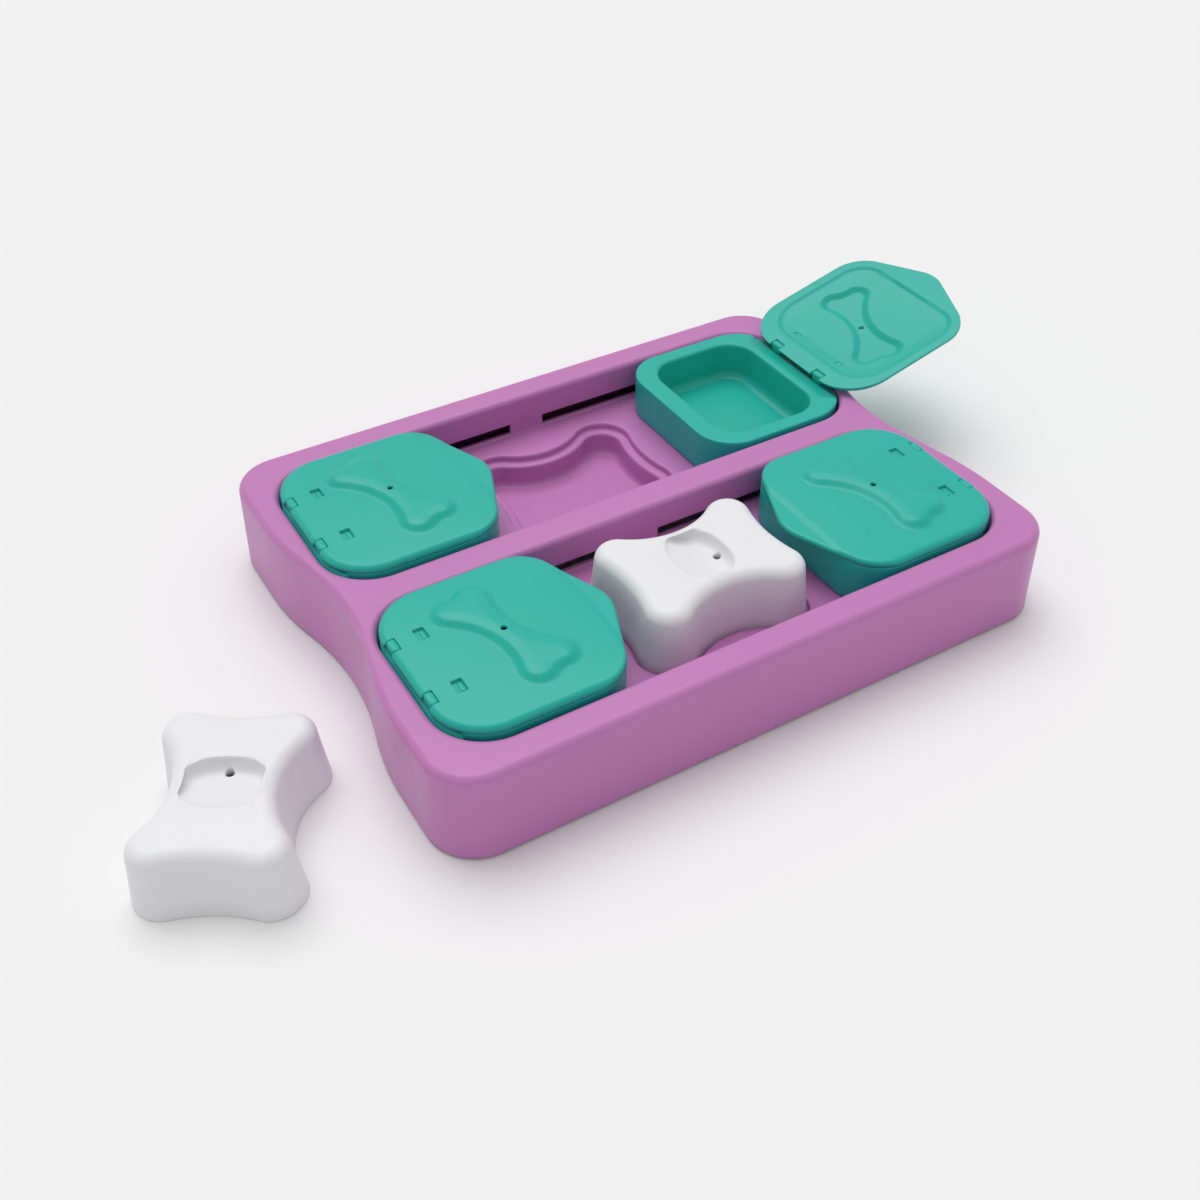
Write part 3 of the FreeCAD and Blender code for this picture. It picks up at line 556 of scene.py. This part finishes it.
def make_box():
    """A slider box in its own frame: outer end at x = 0, +x to the middle, floor at z = 0."""
    shell = Shell()
    width = BOX_HALF_WIDTH
    path = outline(
        block(0, BOX_LENGTH, -width, width, BOX_OUTER_CORNER, BOX_INNER_CORNER), [None] * 4, 1.2
    )
    walls = shell.profile(
        path,
        [(-BOX_FOOT_ROUND - BOX_FLAT, 0.0)]
        + quarter(-BOX_FOOT_ROUND, BOX_FOOT_ROUND, BOX_FOOT_ROUND, -90, 0, 5)
        + [(0.0, 2 * BOX_STRAIGHT), (0.0, BOX_HEIGHT - BOX_STRAIGHT)]
        + quarter(-BOX_BRIM_ROUND, BOX_HEIGHT - BOX_BRIM_ROUND, BOX_BRIM_ROUND, 0, 90, 5)
        + [(-BOX_BRIM_ROUND - BOX_FLAT, BOX_HEIGHT)],
    )
    hollow = outline(
        block(
            CAVITY["left"], CAVITY["right"], -CAVITY["half"], CAVITY["half"],
            CAVITY["corner"], CAVITY["corner"],
        ),
        [None] * 4, 1.0,
    )
    cavity = shell.profile(
        hollow,
        [(MOUTH_LIP + BOX_FLAT, BOX_HEIGHT)]
        + quarter(MOUTH_LIP, BOX_HEIGHT - MOUTH_LIP, MOUTH_LIP, 90, 180, 7)
        + quarter(-CAVITY_SETBACK, CAVITY["floor"] + CAVITY_ROUND, CAVITY_ROUND, 0, -90, 9)
        + [(-CAVITY_SETBACK - CAVITY_FLAT, CAVITY["floor"])],
    )
    shell.fill(walls[0])
    shell.fill(walls[-1], cavity[0])
    shell.fill(cavity[-1])
    return shell.object("box_blank")


box_blank = make_box()
ledge = soft_block(-1, LEDGE_LENGTH, -50, 50, BOX_HEIGHT - LEDGE_DROP, BOX_HEIGHT + 1, LEDGE_CORNER)
cut(box_blank, ledge.object("ledge_cut"))


def make_box_fittings():
    """The side tabs and hinge lugs, which run a little way into the box's walls."""
    half = BOX_HALF_WIDTH - ROOT
    tabs = [
        soft_block(TAB_START, TAB_END, low, high, TAB_LOW, TAB_HIGH, TAB_ROUND)
        for low, high in ((-TAB_REACH, -half), (half, TAB_REACH))
    ]
    lugs = []
    for side in (-1, 1):
        middle = HINGE_SPACING / 2 * side
        left = HINGE_SETBACK - LUG_LENGTH / 2
        top = BOX_HEIGHT + HINGE_HEIGHT + LUG_LENGTH / 2 - ROOT
        lugs.append(
            soft_block(
                left, left + LUG_LENGTH, middle - LUG_WIDTH / 2, middle + LUG_WIDTH / 2,
                BOX_HEIGHT - LEDGE_DROP - ROOT, top, LUG_ROUND,
            )
        )
    return join_shells(tabs[0], tabs[1:] + lugs).object("box_fittings")


def joined(first, second):
    """Add the second object's mesh to the first, then delete the second."""
    shape = bmesh.new()
    shape.from_mesh(first.data)
    shape.from_mesh(second.data)
    shape.to_mesh(first.data)
    shape.free()
    bpy.data.objects.remove(second)
    return first


box_blank = joined(box_blank, make_box_fittings())
teal = plastic("teal_moulding", srgb(30, 178, 163), 0.34)
box_blank.data.materials.clear()
box_blank.data.materials.append(teal)
for side_name, side in SIDES.items():
    for end_name, end in ENDS.items():
        name = side_name + "_" + end_name
        place = turned(0 if end < 0 else 180, outer_end * end, channel_y * side, box_z)
        box = moved_copy(box_blank, "treat_box_" + name, place)
        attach(box, "slider_" + name)
        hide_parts("slider_box_" + name)
bpy.data.objects.remove(box_blank)


# Flip lids: thin teal mouldings with a rolled edge, a finger lip that comes to a blunt
# point, a dog bone pressed up slantwise across the middle with a small hole in it, and
# two moulding windows by the hinge. Notches at the outer end clear the box's lugs.
LID_THICKNESS, LID_SKIN, LID_EDGE = 3.3, 1.8, 3.0
LID_SEAT = 0.08
LIP_REACH, LIP_CORNER, LIP_THICKNESS, LIP_EDGE = 11.0, 22.0, 2.6, 1.5
EMBOSS = dict(length=32.0, width=72.0, lobe=9.3, side_half=34.8, end_half=8.0)
EMBOSS_X, EMBOSS_TURN, EMBOSS_HEIGHT, EMBOSS_SLOPE = 45.0, 19.0, 2.5, 4.2
EMBOSS_CROWN, LID_CROWN = 0.6, 1.5
PLATE_STEP, LIP_START, LIP_BLEND, FACE_BAND = 1.6, 24.0, 14.0, 98.0
BONE_FOOT, BONE_BROW, BONE_UNDER, SLOPE_SPREAD = 0.8, 9.0, 0.6, 1.2
PAN_RIM, PAN_FOOT, PAN_BROW, PAN_DOME = 6.0, 1.0, 1.4, 8.0
WINDOW_START, WINDOW_LENGTH, WINDOW_WIDTH, WINDOW_CORNER = 10.7, 5.3, 8.0, 0.4
WINDOW_SINK, SLIT_SETBACK, SLIT_WIDTH, SLIT_HALF = 0.8, 0.5, 2.2, 2.7
NOTCH_GAP, NOTCH_CORNER, CUT_LOW, CUT_HIGH = 0.16, 0.3, -2.0, 8.0
LID_HOLE = 1.6


def smoothstep(low, high, value):
    share = np.clip((value - low) / (high - low), 0, 1)
    return share * share * (3 - 2 * share)


def rolled(distance, radius, height):
    """Height of a surface whose edge rolls down over a quarter circle of this radius."""
    inside = np.clip(distance, 0, radius)
    return height - radius + np.sqrt(np.maximum(radius ** 2 - (radius - inside) ** 2, 0))


def lid_heights(places, from_edge):
    """Top and bottom of the lid above its skirt plane.

    Top: a plate rolled down at the main edge, or the lower lip outside it, plus a dome,
    LID_CROWN * (1 - u^2)(1 - v^2), plus the bone, EMBOSS_HEIGHT * s(d / EMBOSS_SLOPE) +
    EMBOSS_CROWN * s(d) for the distance d inside its outline. Bottom: the skirt, a pan set
    up under the plate, and the bone's hollow.
    """
    left, right, width = -HINGE_SETBACK, BOX_LENGTH - HINGE_SETBACK, BOX_HALF_WIDTH
    main = outline(block(left, right, -width, width, BOX_OUTER_CORNER, BOX_INNER_CORNER), [None] * 4, 0.7)
    inside = edge_distance(places, *main)
    beyond = smoothstep(right - LIP_START, right - LIP_START + LIP_BLEND, places[:, 0])
    plate = rolled(inside, LID_EDGE, LID_THICKNESS)
    step = LID_THICKNESS - (LID_THICKNESS - LIP_THICKNESS) * smoothstep(PLATE_STEP, -PLATE_STEP, inside)
    lip = np.minimum(step, step - LIP_EDGE + rolled(from_edge, LIP_EDGE, LIP_EDGE))
    sides = np.where(inside > 0, plate, 0)
    edged = np.minimum(sides, rolled(from_edge, LID_EDGE, LID_THICKNESS))
    flat = np.where(from_edge < FACE_BAND, edged, sides)
    surface = flat * (1 - beyond) + lip * beyond
    c, t = math.cos(math.radians(EMBOSS_TURN)), math.sin(math.radians(EMBOSS_TURN))
    spot = places - np.array([EMBOSS_X, 0.0])
    spot = np.stack([spot[:, 0] * c + spot[:, 1] * t, spot[:, 1] * c - spot[:, 0] * t], 1)
    into_bone = edge_distance(spot, *outline(*bone(**EMBOSS, x0=0, y0=0), 0.5))
    raised = EMBOSS_HEIGHT * smoothstep(-BONE_FOOT, EMBOSS_SLOPE, into_bone)
    crown = EMBOSS_CROWN * smoothstep(EMBOSS_SLOPE / 2, BONE_BROW, into_bone)
    across = np.clip((places[:, 0] - (left + right) / 2) / (BOX_LENGTH / 2), -1, 1)
    along = np.clip(places[:, 1] / width, -1, 1)
    dome = LID_CROWN * (1 - across ** 2) * (1 - along ** 2)
    top = surface + raised + crown + dome
    pan = outline(
        block(
            left + 2 * PAN_RIM, right - PAN_RIM, PAN_RIM - width, width - PAN_RIM,
            BOX_OUTER_CORNER - PAN_RIM, BOX_INNER_CORNER - PAN_RIM,
        ),
        [None] * 4, 0.7,
    )
    into_pan = edge_distance(places, *pan)
    bottom = (LID_THICKNESS - LID_SKIN) * smoothstep(-PAN_FOOT, PAN_BROW, into_pan)
    bottom += EMBOSS_HEIGHT * smoothstep(BONE_UNDER, EMBOSS_SLOPE + SLOPE_SPREAD, into_bone)
    bottom += dome * smoothstep(0, PAN_DOME, into_pan)
    return top, bottom


def lid_corners():
    """The lid's outline: the plate's four corners and the blunt point of the lip."""
    left, right, width = -HINGE_SETBACK, BOX_LENGTH - HINGE_SETBACK, BOX_HALF_WIDTH
    root, side = right - BOX_INNER_CORNER, width - BOX_INNER_CORNER
    heel, flank = left + BOX_OUTER_CORNER, width - BOX_OUTER_CORNER
    return [
        (right + LIP_REACH - LIP_CORNER, 0, LIP_CORNER),
        (root, side, BOX_INNER_CORNER),
        (heel, flank, BOX_OUTER_CORNER),
        (heel, -flank, BOX_OUTER_CORNER),
        (root, -side, BOX_INNER_CORNER),
    ]


def make_lid():
    """A lid in its own frame: hinge axis along y at x = 0, skirt plane at z = 0.

    Both faces share rings: offsets of the outline near the edge, then the last offset
    shrunk towards the middle, p = c + s (q - c).
    """
    points, normals = outline(lid_corners(), [None] * 5, 0.9)
    offsets = [0.0, 0.04, 0.15, 0.35, 0.6, 0.9, 1.3, 1.75, 2.2, 2.6, 3.0, 3.6, 4.4, 5.4, 6.6, 8.0]
    offsets += [9.5, 11.0, 12.5]
    levels = [points - grow * normals for grow in offsets]
    centre = np.array([EMBOSS_X - 1.5, 0.0])
    shrink = np.linspace(1, 0, 60)[1:-1]
    levels += [centre + share * (levels[-1] - centre) for share in shrink]
    count = len(points)
    flat = np.concatenate(levels)
    from_edge = np.concatenate(
        [np.full(count, grow) for grow in offsets] + [np.full(count, 99.0)] * len(shrink)
    )
    top, bottom = lid_heights(flat, from_edge)
    shell = Shell()
    faces = []
    for heights in (top, bottom):
        rings = []
        for index, level in enumerate(levels):
            z = heights[index * count:(index + 1) * count]
            rings.append(shell.ring((level, np.zeros_like(level)), 0, z))
        for one, two in zip(rings, rings[1:]):
            shell.strip(one, two)
        shell.fill(rings[-1])
        faces.append(rings[0])
    shell.strip(faces[0], faces[1])
    return shell.object("lid_blank")


def cylinder(x, y, bottom, top, radius, count=32):
    shell = Shell()
    rings = shell.profile(circle_path(x, y, radius, count), [(0.0, bottom), (0.0, top)])
    shell.fill(rings[0])
    shell.fill(rings[-1])
    return shell


lid_blank = make_lid()
lid_cutters = [cylinder(EMBOSS_X, 0, CUT_LOW, CUT_HIGH, LID_HOLE)]
for side in (-1, 1):
    middle = HINGE_SPACING / 2 * side
    window_end = WINDOW_START + WINDOW_LENGTH
    half = LUG_WIDTH / 2 + NOTCH_GAP
    lid_cutters += [
        soft_block(
            WINDOW_START, window_end, middle - WINDOW_WIDTH / 2, middle + WINDOW_WIDTH / 2,
            LID_THICKNESS - WINDOW_SINK, CUT_HIGH, WINDOW_CORNER,
        ),
        soft_block(
            window_end - SLIT_WIDTH - SLIT_SETBACK, window_end - SLIT_SETBACK,
            middle - SLIT_HALF, middle + SLIT_HALF, CUT_LOW, 3, WINDOW_CORNER,
        ),
        soft_block(
            -5, LUG_LENGTH / 2 + NOTCH_GAP, middle - half, middle + half,
            CUT_LOW, CUT_HIGH, NOTCH_CORNER,
        ),
    ]
cut(lid_blank, join_shells(lid_cutters[0], lid_cutters[1:]).object("lid_cut"))
lid_blank.data.materials.clear()
lid_blank.data.materials.append(teal)
lid_drop = LID_SEAT - HINGE_HEIGHT
OPEN_ANGLE = 165.0
for side_name, side in SIDES.items():
    for end_name, end in ENDS.items():
        name = side_name + "_" + end_name
        lift = math.radians(OPEN_ANGLE if name == "rear_right" else 0)
        c, s = math.cos(lift), math.sin(lift)
        swing = np.array([[c, 0, -s], [0, 1, 0], [s, 0, c]])
        spin = turned(0 if end < 0 else 180, 0, 0, 0)[0]
        turn = spin @ swing
        axis = np.array([hinge_x * end, channel_y * side, hinge_z])
        shift = turn @ np.array([0, 0, lid_drop]) + axis
        lid = moved_copy(lid_blank, "lid_" + name, (turn, shift))
        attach(lid, "lid_" + name)
        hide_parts("flip_lid_" + name)
bpy.data.objects.remove(lid_blank)


# Hinge wires: short bright steel wires through the lugs and the lids' bores; the packed
# solids are their true shape, so only their material is given here.
WIRE_COLOUR, WIRE_GRAIN, WIRE_ROUGHNESS = srgb(190, 190, 194), 900.0, (0.22, 0.34)
steel = bpy.data.materials.new("bright_wire")
steel.use_nodes = True
wire_shader = steel.node_tree.nodes["Principled BSDF"]
wire_noise = steel.node_tree.nodes.new("ShaderNodeTexNoise")
wire_noise.inputs["Scale"].default_value = WIRE_GRAIN
wire_place = steel.node_tree.nodes.new("ShaderNodeTexCoord")
steel.node_tree.links.new(wire_place.outputs["Object"], wire_noise.inputs["Vector"])
wire_range = steel.node_tree.nodes.new("ShaderNodeMapRange")
wire_range.inputs["To Min"].default_value = WIRE_ROUGHNESS[0]
wire_range.inputs["To Max"].default_value = WIRE_ROUGHNESS[1]
steel.node_tree.links.new(wire_noise.outputs["Fac"], wire_range.inputs["Value"])
steel.node_tree.links.new(wire_range.outputs["Result"], wire_shader.inputs["Roughness"])
wire_shader.inputs["Base Color"].default_value = (*WIRE_COLOUR, 1)
wire_shader.inputs["Metallic"].default_value = 1.0
for side_name in SIDES:
    for end_name in ENDS:
        pins = frame["nodes"]["hinge_pins_" + side_name + "_" + end_name]
        for slot in pins.material_slots:
            slot.link = "OBJECT"
            slot.material = steel


# Bone covers: hollow white mouldings with drafted sides and a soft rolled top edge. A
# scooped finger recess crosses the middle, deepest at its steep side, where a small
# round hole goes through. One sits in the front well, the other lies beside the tray.
BONE_HEIGHT, BONE_DRAFT, BONE_EDGE, BONE_WALL = 34.0, 3.0, 6.5, 2.6
SCOOP_HALF_X, SCOOP_HALF_Y, SCOOP_DEPTH, SCOOP_WALL = 13.6, 18.6, 6.4, 5.0
SCOOP_POWER, SCOOP_DIP, BONE_HOLE, BONE_HOLE_X, BONE_CEILING = 2.4, 0.5, 2.1, 10.0, 23.0
BONE_BASE_ROUND = 0.5


def make_cover():
    """A bone cover in its own frame, with its foot at z = 0 and the hole towards +x.

    The top runs from the rolled edge to the scoop's oval rim in straight shares. Inside
    the rim the depth is SCOOP_DEPTH * (x + half) / (2 half) * e(d), e a quarter circle in
    the distance d from the rim.
    """
    shell = Shell()
    path = outline(*bone(**COVER, x0=0, y0=0), 0.8)
    top_start = -BONE_DRAFT - BONE_EDGE
    skirt = shell.profile(
        path,
        [(-BONE_WALL - BONE_DRAFT, BONE_CEILING), (-BONE_WALL, 0.0)]
        + quarter(-BONE_BASE_ROUND, BONE_BASE_ROUND, BONE_BASE_ROUND, -90, 0, 4)
        + [(-BONE_DRAFT * share, BONE_HEIGHT * 0.8 * share) for share in (0.25, 0.5, 0.75)]
        + quarter(top_start, BONE_HEIGHT - BONE_EDGE, BONE_EDGE, 6, 90, 12),
    )
    shell.fill(skirt[0])
    points, normals = path
    rim = points + top_start * normals
    angles = np.arctan2(rim[:, 1] / SCOOP_HALF_Y, rim[:, 0] / SCOOP_HALF_X)
    power = 2 / SCOOP_POWER
    oval = np.stack(
        [
            SCOOP_HALF_X * np.sign(np.cos(angles)) * np.abs(np.cos(angles)) ** power,
            SCOOP_HALF_Y * np.sign(np.sin(angles)) * np.abs(np.sin(angles)) ** power,
        ],
        1,
    )
    last = skirt[-1]
    still = np.zeros_like(rim)
    for share in np.linspace(0, 1, 16)[1:]:
        flat = rim + share * (oval - rim)
        dip = SCOOP_DIP * smoothstep(0.55, 1.0, share)
        ring = shell.ring((flat, still), 0, BONE_HEIGHT - dip)
        shell.strip(last, ring)
        last = ring
    for share in np.concatenate([np.linspace(0.99, 0.62, 18), np.linspace(0.58, 0.06, 12)]):
        flat = share * oval
        from_rim = (1 - share) * np.hypot(oval[:, 0], oval[:, 1])
        along = (flat[:, 0] + SCOOP_HALF_X) / (2 * SCOOP_HALF_X)
        roll = np.sqrt(1 - (1 - np.clip(from_rim / SCOOP_WALL, 0, 1)) ** 2)
        depth = SCOOP_DEPTH * smoothstep(-0.25, 0.95, along) * roll
        ring = shell.ring((flat, still), 0, BONE_HEIGHT - SCOOP_DIP - depth)
        shell.strip(last, ring)
        last = ring
    shell.fill(last)
    return shell.object("cover_blank")


cover_blank = make_cover()
cut(cover_blank, cylinder(BONE_HOLE_X, 0, BONE_CEILING - 1, 40, BONE_HOLE).object("cover_hole_cut"))
white = plastic("white_moulding", srgb(233, 233, 236), 0.42, scatter=0.08)
cover_blank.data.materials.clear()
cover_blank.data.materials.append(white)
loose_low, loose_high = (np.array(corner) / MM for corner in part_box("bone_cover_rear"))
loose_middle = (loose_low + loose_high) / 2
seat_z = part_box("bone_cover_front")[0][2] / MM
LOOSE_TURN = 59.0
covers = {
    "front": turned(0, 0, -channel_y, seat_z),
    "rear": turned(LOOSE_TURN, loose_middle[0], loose_middle[1], 0),
}
for name, place in covers.items():
    cover = moved_copy(cover_blank, "cover_" + name, place)
    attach(cover, "cover_" + name)
    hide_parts("bone_cover_" + name)
bpy.data.objects.remove(cover_blank)


# Floor and light: a pale seamless sweep under soft, even light from above
FLOOR_REACH, FLOOR_COLOUR = 40.0, srgb(242, 242, 242)
SUN_FROM, SUN_STRENGTH, SUN_ANGLE, SKY_STRENGTH = (0.05, 0.40, 1.0), 1.56, 50.0, 0.54


def make_floor():
    """A level square in metres under the object."""
    mesh = bpy.data.meshes.new("floor")
    corners = FLOOR_REACH * np.array([(-1, -1, 0), (1, -1, 0), (1, 1, 0), (-1, 1, 0)])
    mesh.from_pydata(corners, [], [(0, 1, 2, 3)])
    floor = bpy.data.objects.new("floor", mesh)
    bpy.context.scene.collection.objects.link(floor)
    material = bpy.data.materials.new("pale_floor")
    material.use_nodes = True
    shader = material.node_tree.nodes["Principled BSDF"]
    shader.inputs["Base Color"].default_value = (*FLOOR_COLOUR, 1)
    shader.inputs["Roughness"].default_value = 0.9
    shader.inputs["Specular IOR Level"].default_value = 0.1
    floor.data.materials.append(material)


def sun(name, place, strength, angle):
    lamp = bpy.data.lights.new(name, "SUN")
    lamp.energy = strength
    lamp.angle = math.radians(angle)
    made = bpy.data.objects.new(name, lamp)
    bpy.context.scene.collection.objects.link(made)
    made.rotation_euler = (-Vector(place)).to_track_quat("-Z", "Y").to_euler()


make_floor()
sun("overhead", SUN_FROM, SUN_STRENGTH, SUN_ANGLE)
world = bpy.data.worlds.new("studio")
bpy.context.scene.world = world
world.use_nodes = True
backdrop = world.node_tree.nodes["Background"]
backdrop.inputs["Color"].default_value = (1, 1, 1, 1)
backdrop.inputs["Strength"].default_value = SKY_STRENGTH
# Behind the floor's far edge the eye sees the floor's own paleness
haze = world.node_tree.nodes.new("ShaderNodeBackground")
haze.inputs["Color"].default_value = (*FLOOR_COLOUR, 1)
eye = world.node_tree.nodes.new("ShaderNodeLightPath")
either = world.node_tree.nodes.new("ShaderNodeMixShader")
world.node_tree.links.new(eye.outputs["Is Camera Ray"], either.inputs["Fac"])
world.node_tree.links.new(backdrop.outputs["Background"], either.inputs[1])
world.node_tree.links.new(haze.outputs["Background"], either.inputs[2])
world.node_tree.links.new(either.outputs["Shader"], world.node_tree.nodes["World Output"].inputs["Surface"])


# Camera: the photograph's viewpoint, measured from the tray's own outline
CAMERA_AZIMUTH, CAMERA_HEIGHT_ANGLE, CAMERA_DISTANCE = -30.84, 40.92, 712.22
CAMERA_TARGET = Vector((-24.35, -9.56, 0.0))
LENS, SENSOR = 41.663, 36.0
azimuth, height_angle = math.radians(CAMERA_AZIMUTH), math.radians(CAMERA_HEIGHT_ANGLE)
back = Vector((
    math.sin(azimuth) * math.cos(height_angle),
    -math.cos(azimuth) * math.cos(height_angle),
    math.sin(height_angle),
))
right = Vector((math.cos(azimuth), math.sin(azimuth), 0))
up = back.cross(right)
camera = bpy.data.objects.new("camera", bpy.data.cameras.new("camera"))
bpy.context.scene.collection.objects.link(camera)
camera.data.lens = LENS
camera.data.sensor_width = SENSOR
spot = (CAMERA_TARGET + back * CAMERA_DISTANCE) * MM
turn = Matrix((right, up, back)).transposed().to_4x4()
camera.matrix_world = Matrix.Translation(spot) @ turn
bpy.context.scene.camera = camera
bpy.context.scene.view_settings.view_transform = "Standard"
